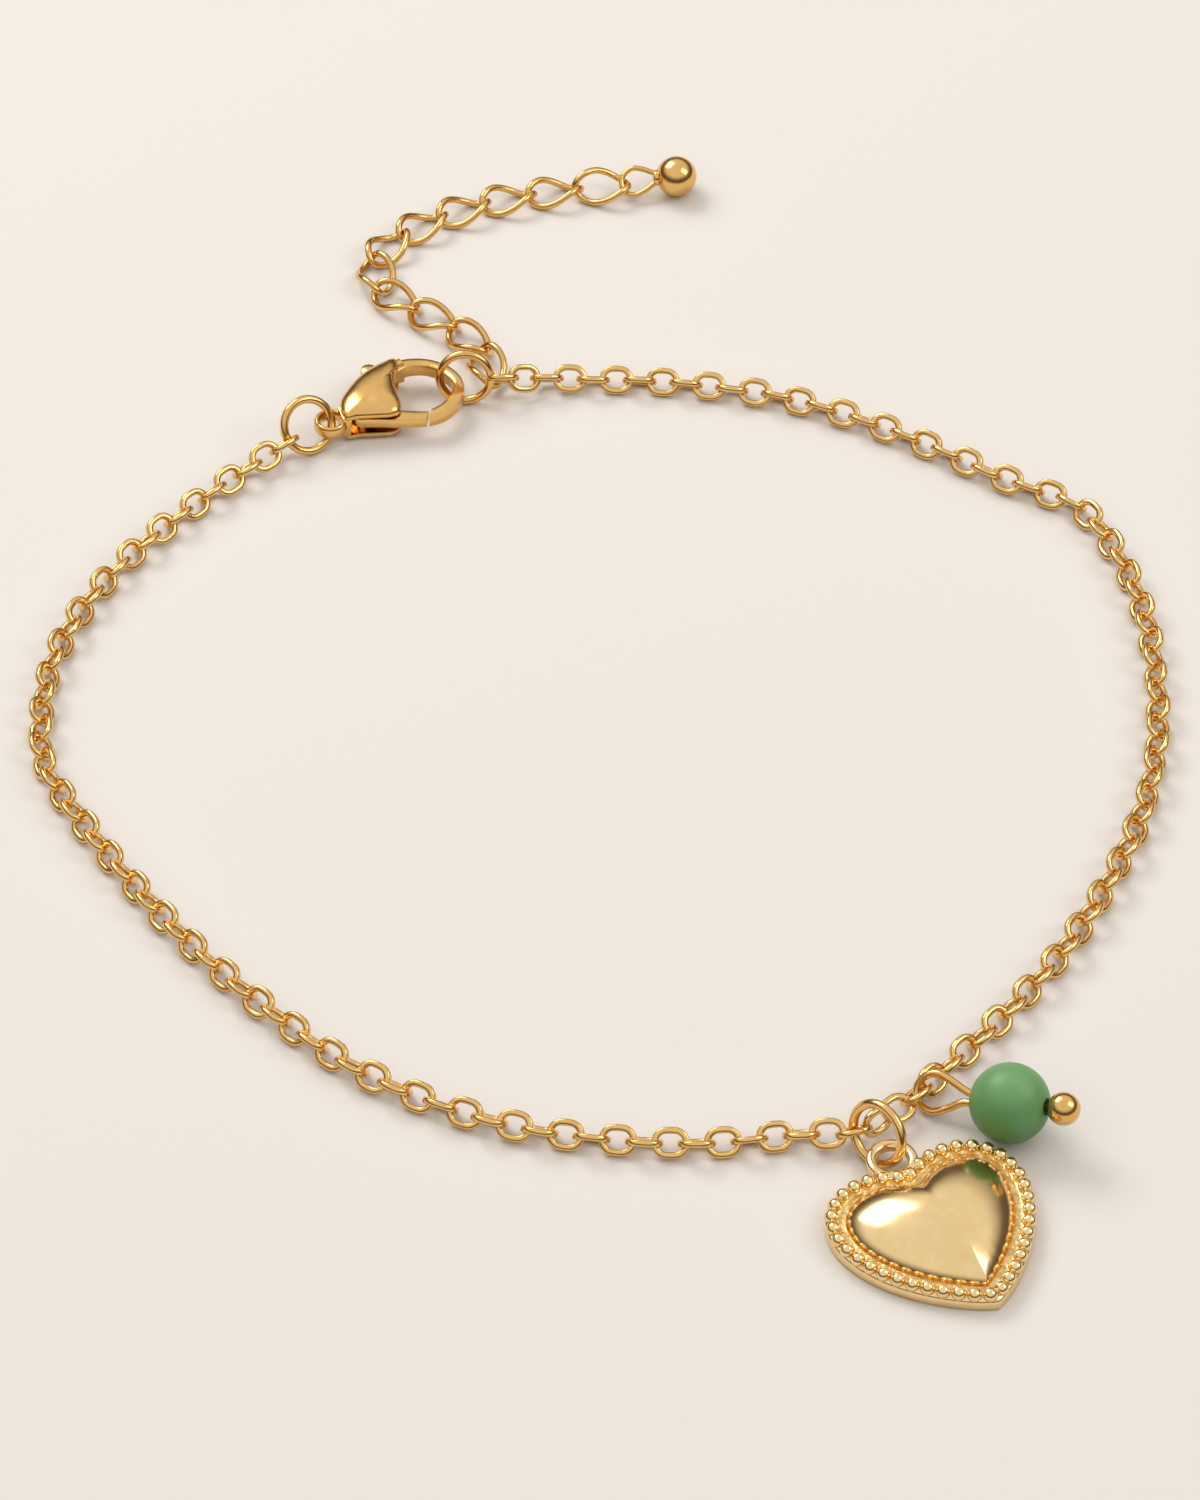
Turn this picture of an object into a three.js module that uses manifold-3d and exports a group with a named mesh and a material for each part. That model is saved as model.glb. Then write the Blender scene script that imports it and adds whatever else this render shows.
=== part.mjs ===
// Charm anklet, clasped and lying on a flat surface.
// Units: millimetres. +Z is up, the surface is z = 0, -Y is the side the charms lie on.
import * as THREE from 'three';
import { mergeVertices } from 'three/addons/utils/BufferGeometryUtils.js';
import Module from 'manifold-3d';

const wasm = await Module();
wasm.setup();

// ---------------------------------------------------------------- driving dimensions
const ORIGIN = { x: 0.028, y: 6.279 };              // subtracted at the end so that the box is centred

const CHAIN = { radius: 1.0, sides: 8, steps: 60 };

const CLASP_RING = { wire: 0.34, radius: 2.07, x: -23.2, y: 34.4, lean: 52, turn: 27 };
const JUNCTION_RING = { wire: 0.34, radius: 2.05, x: -10.8, y: 39.84, lean: 75, turn: 0 };
const HEART_RING = { wire: 0.35, radius: 2.25, x: 19.571, y: -40.81 };
const RING_GAP = 0.16;                         // room left in the chain round each ring's wire
const FLOOR_GAP = 0.02;

const CLASP = {
  x: -21.42, y: 35.13, turn: 17.5,             // tail loop centre and heading of the clasp's length
  loopOuter: 1.36, loopInner: 0.85, loopLow: 1.05, loopHigh: 2.15,
  shellLow: 0, slotLow: 0.75, slotHigh: 2.3, shellHigh: 2.65, crown: 0.65,
  hookLow: 1.15, hookHigh: 2.35,
  pivotX: 2.6, pivotY: 0.1, pin: 0.42, pinHole: 0.6, knuckle: 0.95,
  leverLow: 1.2, leverHigh: 2.1,
};

const EXTENDER = { wire: 0.25, halfLength: 2.25, halfWidth: 1.4, twist: 50, z: 0.86, links: 11, endRoll: 28, endLift: 0.38, ringLift: 0.22 };
const EXT_BALL = { radius: 1.69, wire: 0.23, x: 6.35, y: 65.78 };

const HEART = {
  x: 27.332, y: -54.288, turn: -61.5,          // centre of the rim bead at the tip, heading of the tip
  plate: 1.0, rimOut: 0.48, domeIn: 1.35, dome: 2.35, rimHigh: 0.38,
  bailX: -0.15, bailY: 13.85, bailOuter: 1.88, bailInner: 1.1, bailLow: 0.75, bailHigh: 1.6,
};

const BEAD = { radius: 2.9, bore: 0.75, x: 29.01, y: -38.26, turn: -22.5, tilt: 15.5 };
const PIN = { wire: 0.29, ball: 1.2, ballAt: 4.12, loopAt: 6.2, loopHalf: 1.38, loopRise: 0.18 };

// chain route, from the clasp ring round the front to the junction ring (mm)
const ROUTE = [
  { x: -24.62, y: 33.05, z: 1.55 },
  { x: -26.9, y: 31.2, z: 1.12 },
  { x: -30.9, y: 27.35, z: 1.0 },
  { x: -35.75, y: 21.63, z: 1.0 },
  { x: -39.44, y: 15.52, z: 1.0 },
  { x: -41.72, y: 9.2, z: 1.0 },
  { x: -42.35, y: 3.2, z: 1.0 },
  { x: -41.75, y: -2.5, z: 1.0 },
  { x: -38.55, y: -8.6, z: 1.0 },
  { x: -34.6, y: -14.7, z: 1.0 },
  { x: -30.02, y: -20.9, z: 1.0 },
  { x: -24.4, y: -27.1, z: 1.0 },
  { x: -18.22, y: -32.68, z: 1.0 },
  { x: -11.62, y: -36.62, z: 1.0 },
  { x: -4.65, y: -39.09, z: 1.0 },
  { x: 2.69, y: -40.2, z: 1.0 },
  { x: 8.3, y: -40.3, z: 1.0 },
  { x: 13.82, y: -39.6, z: 1.05 },
  { x: 17.97, y: -39.62, z: 1.42 },
  { x: 20.4, y: -38.0, z: 1.1 },
  { x: 22.45, y: -35.95, z: 1.02 },
  { x: 25.2, y: -32.75, z: 1.0 },
  { x: 29.48, y: -27.7, z: 1.0 },
  { x: 33.7, y: -21.84, z: 1.0 },
  { x: 37.5, y: -14.8, z: 1.0 },
  { x: 40.35, y: -7.9, z: 1.0 },
  { x: 42.0, y: -0.6, z: 1.0 },
  { x: 42.42, y: 6.5, z: 1.0 },
  { x: 41.95, y: 14.0, z: 1.0 },
  { x: 40.2, y: 20.9, z: 1.0 },
  { x: 37.6, y: 26.0, z: 1.0 },
  { x: 32.6, y: 28.9, z: 1.0 },
  { x: 26.8, y: 32.75, z: 1.0 },
  { x: 20.4, y: 36.55, z: 1.0 },
  { x: 13.6, y: 39.25, z: 1.0 },
  { x: 6.3, y: 40.65, z: 1.0 },
  { x: -0.5, y: 41.12, z: 1.0 },
  { x: -4.6, y: 40.9, z: 1.25 },
  { x: -8.35, y: 39.95, z: 2.0 },
];

// extender route: where each link meets the next (mm)
const EXT_ROUTE = [
  { x: -8.95, y: 40.75 }, { x: -9.35, y: 44.7 }, { x: -11.98, y: 47.75 }, { x: -15.25, y: 49.95 },
  { x: -18.15, y: 52.45 }, { x: -18.65, y: 56.1 }, { x: -16.5, y: 59.2 }, { x: -13.25, y: 61.55 },
  { x: -9.6, y: 63.3 }, { x: -5.75, y: 64.4 }, { x: -1.75, y: 65.15 }, { x: 2.1, y: 65.35 },
];

// half outline of the heart through the centres of its rim beads, notch to tip (mm)
const HEART_HALF = [
  { x: 0, y: 11.95 }, { x: 0.92, y: 12.5 }, { x: 2.99, y: 13.03 }, { x: 5.05, y: 12.62 },
  { x: 6.56, y: 11.28 }, { x: 7.12, y: 9.15 }, { x: 6.75, y: 7.01 }, { x: 5.83, y: 5.04 },
  { x: 4.48, y: 3.26 }, { x: 2.88, y: 1.73 }, { x: 1.2, y: 0.5 }, { x: 0, y: -0.12 },
];

// clasp outlines, seen from above, tail loop at 0,0 (mm)
const BODY_TOP = [
  { x: 1.05, y: 0.95 }, { x: 2.35, y: 2.7 }, { x: 3.47, y: 3.7 }, { x: 4.5, y: 4.3 }, { x: 5.7, y: 4.75 }, { x: 6.9, y: 4.95 },
];
const BODY_RIGHT = [
  { x: 6.9, y: 3.85 }, { x: 6.15, y: 3.1 }, { x: 5.85, y: 1.9 }, { x: 5.78, y: 0.6 }, { x: 5.72, y: -0.45 },
  { x: 5.35, y: -1.25 }, { x: 4.7, y: -1.5 }, { x: 3.6, y: -1.3 }, { x: 2.1, y: -0.95 }, { x: 1.05, y: -0.8 },
];
const HOOK_OUT = [
  { x: 5.2, y: 4.5 }, { x: 6.9, y: 4.98 }, { x: 8.6, y: 4.75 }, { x: 9.85, y: 4.05 }, { x: 10.8, y: 2.95 },
  { x: 11.25, y: 1.7 }, { x: 11.25, y: 0.5 }, { x: 10.85, y: -0.5 }, { x: 10.2, y: -1.3 }, { x: 9.3, y: -1.95 },
  { x: 8.4, y: -2.28 }, { x: 7.5, y: -2.34 },
];
const HOOK_IN = [
  { x: 7.98, y: -1.42 }, { x: 8.75, y: -1.12 }, { x: 9.6, y: -0.5 }, { x: 10.25, y: 0.4 }, { x: 10.4, y: 1.4 },
  { x: 9.95, y: 2.6 }, { x: 8.85, y: 3.65 }, { x: 7.5, y: 3.95 }, { x: 6.5, y: 3.6 }, { x: 5.4, y: 2.4 },
];
const SLOT = [
  { x: 1.4, y: -3 }, { x: 6.9, y: -3 }, { x: 6.9, y: 3.2 }, { x: 7.6, y: 3.6 }, { x: 7.5, y: 4.2 },
  { x: 5.8, y: 4.0 }, { x: 5.35, y: 6.5 }, { x: 1.4, y: 6.5 },
];
const LEVER = [
  { x: 1.85, y: -0.4 }, { x: 2.5, y: -0.85 }, { x: 3.6, y: -1.2 }, { x: 4.8, y: -1.62 }, { x: 6.2, y: -2.05 }, { x: 7.28, y: -2.28 },
  { x: 7.74, y: -1.42 }, { x: 6.6, y: -1.02 }, { x: 5.3, y: -0.5 }, { x: 4.1, y: 0.1 }, { x: 4.0, y: 1.6 }, { x: 4.6, y: 3.4 },
  { x: 4.95, y: 4.5 }, { x: 4.05, y: 4.7 }, { x: 3.3, y: 3.2 }, { x: 2.6, y: 1.6 }, { x: 1.85, y: 0.65 },
];
const TAB = { x: 4.55, y: 4.95, radius: 0.66 };

// ---------------------------------------------------------------- helpers
const rad = (deg) => (deg * Math.PI) / 180;

function toSolid(geometry, matrix) {
  let g = geometry.index ? geometry.toNonIndexed() : geometry.clone();
  g.deleteAttribute('normal');
  g.deleteAttribute('uv');
  if (matrix) g.applyMatrix4(matrix);
  g = mergeVertices(g, 1e-4);
  const tri = [];
  const i = g.index.array;
  for (let k = 0; k < i.length; k += 3) {
    if (i[k] !== i[k + 1] && i[k + 1] !== i[k + 2] && i[k] !== i[k + 2]) tri.push(i[k], i[k + 1], i[k + 2]);
  }
  return new wasm.Manifold(new wasm.Mesh({
    numProp: 3,
    vertProperties: new Float32Array(g.attributes.position.array),
    triVerts: new Uint32Array(tri),
  }));
}

function toGeometry(manifold) {
  const m = manifold.getMesh();
  const g = new THREE.BufferGeometry();
  const n = m.numProp;
  const pos = new Float32Array((m.vertProperties.length / n) * 3);
  for (let k = 0; k < pos.length / 3; k++) {
    for (let c = 0; c < 3; c++) pos[3 * k + c] = m.vertProperties[k * n + c];
  }
  g.setAttribute('position', new THREE.BufferAttribute(pos, 3));
  g.setIndex(Array.from(m.triVerts));
  g.computeVertexNormals();
  return g;
}

const plan = (rows) => new THREE.Shape(rows.map((p) => new THREE.Vector2(p.x, p.y)));

function smoothRows(rows, divisions) {
  const c = new THREE.CatmullRomCurve3(rows.map((p) => new THREE.Vector3(p.x, p.y, 0)), false, 'centripetal');
  return c.getPoints(divisions);
}

function slab(shape, low, high, bevel = 0) {
  const g = new THREE.ExtrudeGeometry(shape, {
    depth: high - low - 2 * bevel, bevelEnabled: bevel > 0, bevelThickness: bevel, bevelSize: bevel,
    bevelOffset: -bevel, bevelSegments: 1, curveSegments: 6,
  });
  g.translate(0, 0, low + bevel);
  return g;
}

function roundBar(radius, low, high, x, y, sides = 20) {
  const g = new THREE.CylinderGeometry(radius, radius, high - low, sides);
  g.rotateX(Math.PI / 2);
  g.translate(x, y, (low + high) / 2);
  return g;
}

// polygon whose flats lie at the stated radius, for sweeping along a curve
function section(radius, sides) {
  const r = radius / Math.cos(Math.PI / sides);
  const s = new THREE.Shape();
  for (let k = 0; k < sides; k++) {
    const a = ((k + 0.5) / sides) * 2 * Math.PI;
    if (k === 0) s.moveTo(r * Math.cos(a), r * Math.sin(a));
    else s.lineTo(r * Math.cos(a), r * Math.sin(a));
  }
  s.closePath();
  return s;
}

const sweep = (curve, radius, sides, steps) =>
  new THREE.ExtrudeGeometry(section(radius, sides), { steps, extrudePath: curve, bevelEnabled: false });

// a ring's own axes: 'up' climbs the ring's plane, 'across' is the other in-plane direction
function ringFrame(spec) {
  if (spec.up) return spec;
  const l = rad(spec.lean), t = rad(spec.turn);
  const up = new THREE.Vector3(0, Math.cos(l), Math.sin(l));
  const across = new THREE.Vector3(Math.cos(t), Math.sin(t) * Math.sin(l), -Math.sin(t) * Math.cos(l));
  return { ...spec, up, across };
}

function ringMatrix(spec) {
  const f = ringFrame(spec);
  const across = f.across.clone().normalize();
  const up = f.up.clone().normalize();
  const normal = new THREE.Vector3().crossVectors(across, up).normalize();
  const reach = Math.hypot(across.z, up.z) * spec.radius;
  const z = spec.wire + FLOOR_GAP + reach;
  return new THREE.Matrix4().makeBasis(across, up, normal).setPosition(spec.x, spec.y, z);
}

const ringGeometry = (spec, extra = 0, sides = 8, steps = 20) =>
  new THREE.TorusGeometry(spec.radius, spec.wire + extra, sides, steps);

// ---------------------------------------------------------------- finishes
const gold = (name) => new THREE.MeshStandardMaterial({ name, color: 0xd9a94e, roughness: 0.22, metalness: 1.0 });
const stone = new THREE.MeshStandardMaterial({ name: 'stone', color: 0x5fa873, roughness: 0.55, metalness: 0.0 });

const anklet = new THREE.Group();
anklet.position.set(-ORIGIN.x, -ORIGIN.y, 0);

function addMesh(name, geometry, matrix, material = gold(name)) {
  const mesh = new THREE.Mesh(geometry, material);
  mesh.name = name;
  if (matrix) matrix.decompose(mesh.position, mesh.quaternion, mesh.scale);
  anklet.add(mesh);
  return mesh;
}

// ---------------------------------------------------------------- jump rings
// heart ring: its plane rises to the far left and leans back over the chain
const HEART_RING_FRAME = {
  ...HEART_RING,
  up: new THREE.Vector3(-0.342, 0.664, 0.664),
  across: new THREE.Vector3(0.646, -0.348, 0.68),
};
const rings = { clasp_ring: CLASP_RING, junction_ring: JUNCTION_RING, heart_ring: HEART_RING_FRAME };
for (const [name, spec] of Object.entries(rings)) addMesh(name, ringGeometry(spec), ringMatrix(spec));

// ---------------------------------------------------------------- head pin and bead
const aim = new THREE.Vector3(
  Math.cos(rad(BEAD.tilt)) * Math.cos(rad(BEAD.turn)), Math.cos(rad(BEAD.tilt)) * Math.sin(rad(BEAD.turn)), Math.sin(rad(BEAD.tilt)));
const lean = new THREE.Vector3(0, -Math.SQRT1_2, Math.SQRT1_2).cross(aim).normalize();
const flat = new THREE.Vector3().crossVectors(aim, lean).normalize();
const pinMatrix = new THREE.Matrix4().makeBasis(aim, lean, flat)
  .setPosition(BEAD.x, BEAD.y, BEAD.radius + FLOOR_GAP);

// pin's centre line in its own plane: x towards the ball end, y across the loop
const L = PIN.loopAt, W = PIN.loopHalf, R = PIN.loopRise;
const PIN_LINE = [
  { x: -1.6, y: 0.3 }, { x: -2.8, y: 0.3 }, { x: -3.6, y: 0.42 + R }, { x: -4.7, y: 1.0 + R }, { x: -L + 0.35, y: W + R },
  { x: -L - 0.55, y: 1.02 + R }, { x: -L - 1.05, y: 0.1 + R }, { x: -L - 0.62, y: -0.98 + R }, { x: -L + 0.3, y: -W + R },
  { x: -4.7, y: -1.02 + R }, { x: -3.6, y: -0.5 + R }, { x: -2.8, y: -0.3 }, { x: -1.4, y: -0.3 }, { x: -0.2, y: -0.08 },
  { x: 0.9, y: 0 }, { x: PIN.ballAt, y: 0 },
];
const pinCurve = new THREE.CatmullRomCurve3(PIN_LINE.map((p) => new THREE.Vector3(p.x, p.y, 0)), false, 'centripetal');
const pinTube = toSolid(sweep(pinCurve, PIN.wire, 8, 36));
const pinBall = toSolid(new THREE.SphereGeometry(PIN.ball, 14, 10), new THREE.Matrix4().makeTranslation(PIN.ballAt, 0, 0));
addMesh('bead_pin', toGeometry(pinTube.add(pinBall)), pinMatrix);

const beadHole = new THREE.CylinderGeometry(BEAD.bore, BEAD.bore, 8, 16);
beadHole.rotateZ(Math.PI / 2);
const beadSphere = new THREE.SphereGeometry(BEAD.radius, 24, 14);
addMesh('stone_bead', toGeometry(toSolid(beadSphere).subtract(toSolid(beadHole))), pinMatrix, stone);

// ---------------------------------------------------------------- chain
const route = new THREE.CatmullRomCurve3(ROUTE.map((p) => new THREE.Vector3(p.x, p.y, p.z)), false, 'centripetal');
let chain = toSolid(sweep(route, CHAIN.radius, CHAIN.sides, CHAIN.steps));
chain = chain.translate([0, 0, -chain.boundingBox().min[2]]);
for (const spec of Object.values(rings)) {
  chain = chain.subtract(toSolid(ringGeometry(spec, RING_GAP + 0.02, 8, 20), ringMatrix(spec)));
}
chain = chain.subtract(toSolid(sweep(pinCurve, PIN.wire + RING_GAP, 8, 36), pinMatrix));
export const chainBodies = chain.decompose().map((p) => p.volume());
chain = chain.decompose().sort((a, b) => b.volume() - a.volume())[0];
addMesh('chain', toGeometry(chain));

// ---------------------------------------------------------------- extender
const extRoute = new THREE.CatmullRomCurve3(
  EXT_ROUTE.map((p) => new THREE.Vector3(p.x, p.y, EXTENDER.z)), false, 'centripetal');
function twistedLink(spec) {
  const pts = [];
  for (let k = 0; k < 18; k++) {
    const a = (k / 18) * 2 * Math.PI;
    const x = spec.halfLength * Math.cos(a);
    const y = spec.halfWidth * Math.sin(a);
    const f = rad(spec.twist) * (x / spec.halfLength);
    pts.push(new THREE.Vector3(x, y * Math.cos(f), -y * Math.sin(f)));
  }
  return new THREE.TubeGeometry(new THREE.CatmullRomCurve3(pts, true), 18, spec.wire, 6, true);
}
const linkGeometry = twistedLink(EXTENDER);
const meets = [];
for (let k = 0; k <= EXTENDER.links; k++) meets.push(extRoute.getPointAt(k / EXTENDER.links));
export const linkPitch = extRoute.getLength() / EXTENDER.links;
for (let k = 0; k < EXTENDER.links; k++) {
  const a = meets[k], b = meets[k + 1];
  const mid = new THREE.Vector3().addVectors(a, b).multiplyScalar(0.5);
  const m = new THREE.Matrix4().makeRotationZ(Math.atan2(b.y - a.y, b.x - a.x));
  const end = k === EXTENDER.links - 1;
  if (end) m.multiply(new THREE.Matrix4().makeRotationX(rad(EXTENDER.endRoll)));
  const lift = end ? EXTENDER.endLift : k === 0 ? EXTENDER.ringLift : 0;
  m.setPosition(mid.x, mid.y - (end ? 0.2 : 0), EXTENDER.z + lift);
  addMesh(`extender_link_${String(k + 1).padStart(2, '0')}`, linkGeometry, m);
}

// ---------------------------------------------------------------- extender ball with its wire eye
const last = meets[EXTENDER.links], before = meets[EXTENDER.links - 1];
const ballHeading = Math.atan2(EXT_BALL.y - last.y, EXT_BALL.x - last.x);
const reachOut = Math.hypot(EXT_BALL.x - last.x, EXT_BALL.y - last.y);
const EYE_LINE = [
  { x: -0.5, y: 0.38 }, { x: -1.75, y: 0.42 }, { x: -2.7, y: 0.9 }, { x: -3.6, y: 1.14 }, { x: -4.35, y: 0.72 }, { x: -4.58, y: 0 },
  { x: -4.35, y: -0.72 }, { x: -3.6, y: -1.14 }, { x: -2.7, y: -0.9 }, { x: -1.75, y: -0.42 }, { x: -0.5, y: -0.38 },
];
const eyeCurve = new THREE.CatmullRomCurve3(EYE_LINE.map((p) => new THREE.Vector3(p.x, p.y * 0.8, p.y * 0.6 - Math.max(0, -p.x - 1.5) * 0.14)), false, 'centripetal');
let extBall = toSolid(new THREE.SphereGeometry(EXT_BALL.radius, 18, 12));
const collar = new THREE.CylinderGeometry(0.62, 0.62, 0.5, 14);
collar.rotateZ(Math.PI / 2);
extBall = extBall.add(toSolid(collar, new THREE.Matrix4().makeTranslation(-1.68, 0, 0)));
extBall = extBall.add(toSolid(sweep(eyeCurve, EXT_BALL.wire, 8, 26)));
const ballMatrix = new THREE.Matrix4().makeRotationZ(ballHeading).setPosition(EXT_BALL.x, EXT_BALL.y, EXT_BALL.radius + FLOOR_GAP);
addMesh('extender_ball', toGeometry(extBall), ballMatrix);
export const eyeReach = reachOut;

// ---------------------------------------------------------------- heart charm
const half = smoothRows(HEART_HALF, 21);
const rimLine = [...half.slice(0, -1).map((p) => [p.x, p.y]), ...half.slice(1).reverse().map((p) => [-p.x, p.y])];
// clockwise from the notch; the middle that the dome shrinks towards
const MIDDLE = [0, 7.4];
function inset(line, by) {
  const n = line.length;
  return line.map((p, k) => {
    const a = line[(k + n - 1) % n], b = line[(k + 1) % n];
    const t = [b[0] - a[0], b[1] - a[1]];
    const len = Math.hypot(...t);
    return [p[0] - (-t[1] / len) * -by * -1, p[1] - (t[0] / len) * -by * -1];
  });
}
const outline = (by) => new THREE.Shape(inset(rimLine, by).map((p) => new THREE.Vector2(p[0], p[1])));
const plate = toSolid(slab(outline(-HEART.rimOut), 0, HEART.plate, 0.18));
const rimBand = toSolid(slab(outline(-0.42), HEART.plate - 0.1, HEART.plate + HEART.rimHigh, 0.15));
const channel = toSolid(slab(outline(0.42), HEART.plate, HEART.plate + 2));
function crown(line, low, height, levels) {
  const n = line.length, pos = [], tri = [];
  const rows = [];
  for (let k = 0; k <= levels; k++) {
    const a = (k / (levels + 0.35)) * (Math.PI / 2);
    const s = Math.pow(Math.cos(a), 0.8), z = low + height * Math.sin(a);
    rows.push(line.map((p) => [MIDDLE[0] + (p[0] - MIDDLE[0]) * s, MIDDLE[1] + (p[1] - MIDDLE[1]) * s, z]));
  }
  rows.unshift(line.map((p) => [p[0], p[1], low - 0.6]));
  rows.forEach((r) => r.forEach((p) => pos.push(...p)));
  for (let k = 0; k + 1 < rows.length; k++) {
    for (let j = 0; j < n; j++) {
      const a = k * n + j, b = k * n + ((j + 1) % n), c = a + n, d = b + n;
      tri.push(a, c, b, b, c, d);
    }
  }
  const bottom = pos.length / 3; pos.push(MIDDLE[0], MIDDLE[1], low - 0.6);
  const top = pos.length / 3; pos.push(MIDDLE[0], MIDDLE[1], low + height);
  for (let j = 0; j < n; j++) {
    const b = (j + 1) % n, o = (rows.length - 1) * n;
    tri.push(j, b, bottom, o + j, top, o + b);
  }
  const g = new THREE.BufferGeometry();
  g.setAttribute('position', new THREE.BufferAttribute(new Float32Array(pos), 3));
  g.setIndex(tri);
  return g;
}
const dome = toSolid(crown(inset(rimLine, HEART.domeIn), HEART.plate - 0.1, HEART.dome, 4));
const bail = toSolid(roundBar(HEART.bailOuter, HEART.bailLow, HEART.bailHigh, HEART.bailX, HEART.bailY, 24))
  .subtract(toSolid(roundBar(HEART.bailInner, 0, 4, HEART.bailX, HEART.bailY, 20)));
const heart = plate.add(rimBand.subtract(channel)).add(dome).add(bail.subtract(dome));
const heartY = new THREE.Vector3(-Math.cos(rad(HEART.turn)), -Math.sin(rad(HEART.turn)), 0);
const heartX = new THREE.Vector3(heartY.y, -heartY.x, 0);
const heartMatrix = new THREE.Matrix4().makeBasis(heartX, heartY, new THREE.Vector3(0, 0, 1))
  .setPosition(HEART.x, HEART.y, 0);
addMesh('heart_charm', toGeometry(heart), heartMatrix);

// ---------------------------------------------------------------- clasp
const claspMatrix = new THREE.Matrix4().makeRotationZ(rad(CLASP.turn)).setPosition(CLASP.x, CLASP.y, 0);
const bodyRows = [...BODY_TOP, ...BODY_RIGHT];
const bodyPlan = plan(bodyRows);
const shells = toSolid(slab(bodyPlan, CLASP.shellLow, CLASP.shellHigh, 0.22));
const puff = toSolid(slab(plan(bodyRows.map((p) => ({ x: 3.9 + (p.x - 3.9) * 0.88, y: 1.4 + (p.y - 1.4) * 0.86 }))),
  CLASP.shellHigh - 0.1, CLASP.shellHigh + CLASP.crown * 0.6, 0.18));
const puffTop = toSolid(slab(plan(bodyRows.map((p) => ({ x: 3.9 + (p.x - 3.9) * 0.6, y: 1.4 + (p.y - 1.4) * 0.6 }))),
  CLASP.shellHigh + CLASP.crown * 0.3, CLASP.shellHigh + CLASP.crown, 0.18));
const hookPlan = plan([...HOOK_OUT, ...HOOK_IN]);
const hook = toSolid(slab(hookPlan, CLASP.hookLow, CLASP.hookHigh, 0.22));
const slot = toSolid(slab(plan(SLOT), CLASP.slotLow, CLASP.slotHigh));
const tailBlock = toSolid(slab(plan([{ x: 0.8, y: -0.7 }, { x: 1.42, y: -0.8 }, { x: 1.42, y: 1.1 }, { x: 0.8, y: 0.75 }]), 0.6, 2.5, 0.15));
const tailLoop = toSolid(roundBar(CLASP.loopOuter, CLASP.loopLow, CLASP.loopHigh, 0, 0, 24));
const tailHole = toSolid(roundBar(CLASP.loopInner, 0, 4, 0, 0, 20));
const rivet = toSolid(roundBar(CLASP.pin, CLASP.slotLow - 0.2, CLASP.slotHigh + 0.2, CLASP.pivotX, CLASP.pivotY, 12));
let claspBody = shells.add(hook).subtract(slot).add(puff).add(puffTop);
claspBody = claspBody.add(tailBlock.add(tailLoop).subtract(tailHole)).add(rivet);
addMesh('clasp_body', toGeometry(claspBody), claspMatrix);

const leverSolid = toSolid(slab(plan(LEVER), CLASP.leverLow, CLASP.leverHigh, 0.1))
  .add(toSolid(roundBar(CLASP.knuckle, CLASP.leverLow + 0.02, CLASP.leverHigh - 0.02, CLASP.pivotX, CLASP.pivotY, 20)))
  .add(toSolid(roundBar(TAB.radius, CLASP.leverLow + 0.02, CLASP.leverHigh - 0.02, TAB.x, TAB.y, 18)))
  .subtract(toSolid(roundBar(CLASP.pinHole, 0, 4, CLASP.pivotX, CLASP.pivotY, 16)));
addMesh('clasp_lever', toGeometry(leverSolid), claspMatrix);

export default anklet;
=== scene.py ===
import bpy, math
import numpy as np
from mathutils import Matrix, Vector


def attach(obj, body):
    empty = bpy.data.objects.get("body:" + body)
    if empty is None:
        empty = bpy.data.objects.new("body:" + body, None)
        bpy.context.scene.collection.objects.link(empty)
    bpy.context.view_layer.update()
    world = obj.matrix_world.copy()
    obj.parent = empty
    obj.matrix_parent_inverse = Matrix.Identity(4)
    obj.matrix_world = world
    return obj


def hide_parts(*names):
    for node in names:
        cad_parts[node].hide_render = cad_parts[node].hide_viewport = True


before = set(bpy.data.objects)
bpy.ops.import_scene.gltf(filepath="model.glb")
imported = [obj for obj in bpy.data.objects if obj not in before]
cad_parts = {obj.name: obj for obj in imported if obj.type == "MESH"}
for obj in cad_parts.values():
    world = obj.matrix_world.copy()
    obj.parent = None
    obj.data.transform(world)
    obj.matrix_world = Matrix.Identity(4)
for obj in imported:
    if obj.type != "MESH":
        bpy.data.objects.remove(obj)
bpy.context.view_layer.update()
BODY, LEVER = "frame", "lever"
OX, OY = 0.028, 6.279


# ------------------------------------------------------------ geometry helpers (mm)
def catmull(P, n_per=16, closed=False):
    P = [np.array(p, float) for p in P]
    n = len(P)
    if closed:
        idx = [(P[(i - 1) % n], P[i], P[(i + 1) % n], P[(i + 2) % n]) for i in range(n)]
    else:
        a = [2 * P[0] - P[1]] + P + [2 * P[-1] - P[-2]]
        idx = [(a[i], a[i + 1], a[i + 2], a[i + 3]) for i in range(n - 1)]
    out = []
    for p0, p1, p2, p3 in idx:
        t0 = 0.0
        t1 = t0 + max(np.linalg.norm(p1 - p0), 1e-6) ** 0.5
        t2 = t1 + max(np.linalg.norm(p2 - p1), 1e-6) ** 0.5
        t3 = t2 + max(np.linalg.norm(p3 - p2), 1e-6) ** 0.5
        for k in range(n_per):
            t = t1 + (t2 - t1) * k / n_per
            a1 = (t1 - t) / (t1 - t0) * p0 + (t - t0) / (t1 - t0) * p1
            a2 = (t2 - t) / (t2 - t1) * p1 + (t - t1) / (t2 - t1) * p2
            a3 = (t3 - t) / (t3 - t2) * p2 + (t - t2) / (t3 - t2) * p3
            b1 = (t2 - t) / (t2 - t0) * a1 + (t - t0) / (t2 - t0) * a2
            b2 = (t3 - t) / (t3 - t1) * a2 + (t - t1) / (t3 - t1) * a3
            out.append((t2 - t) / (t2 - t1) * b1 + (t - t1) / (t2 - t1) * b2)
    if not closed:
        out.append(P[-1])
    return np.array(out)


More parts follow.
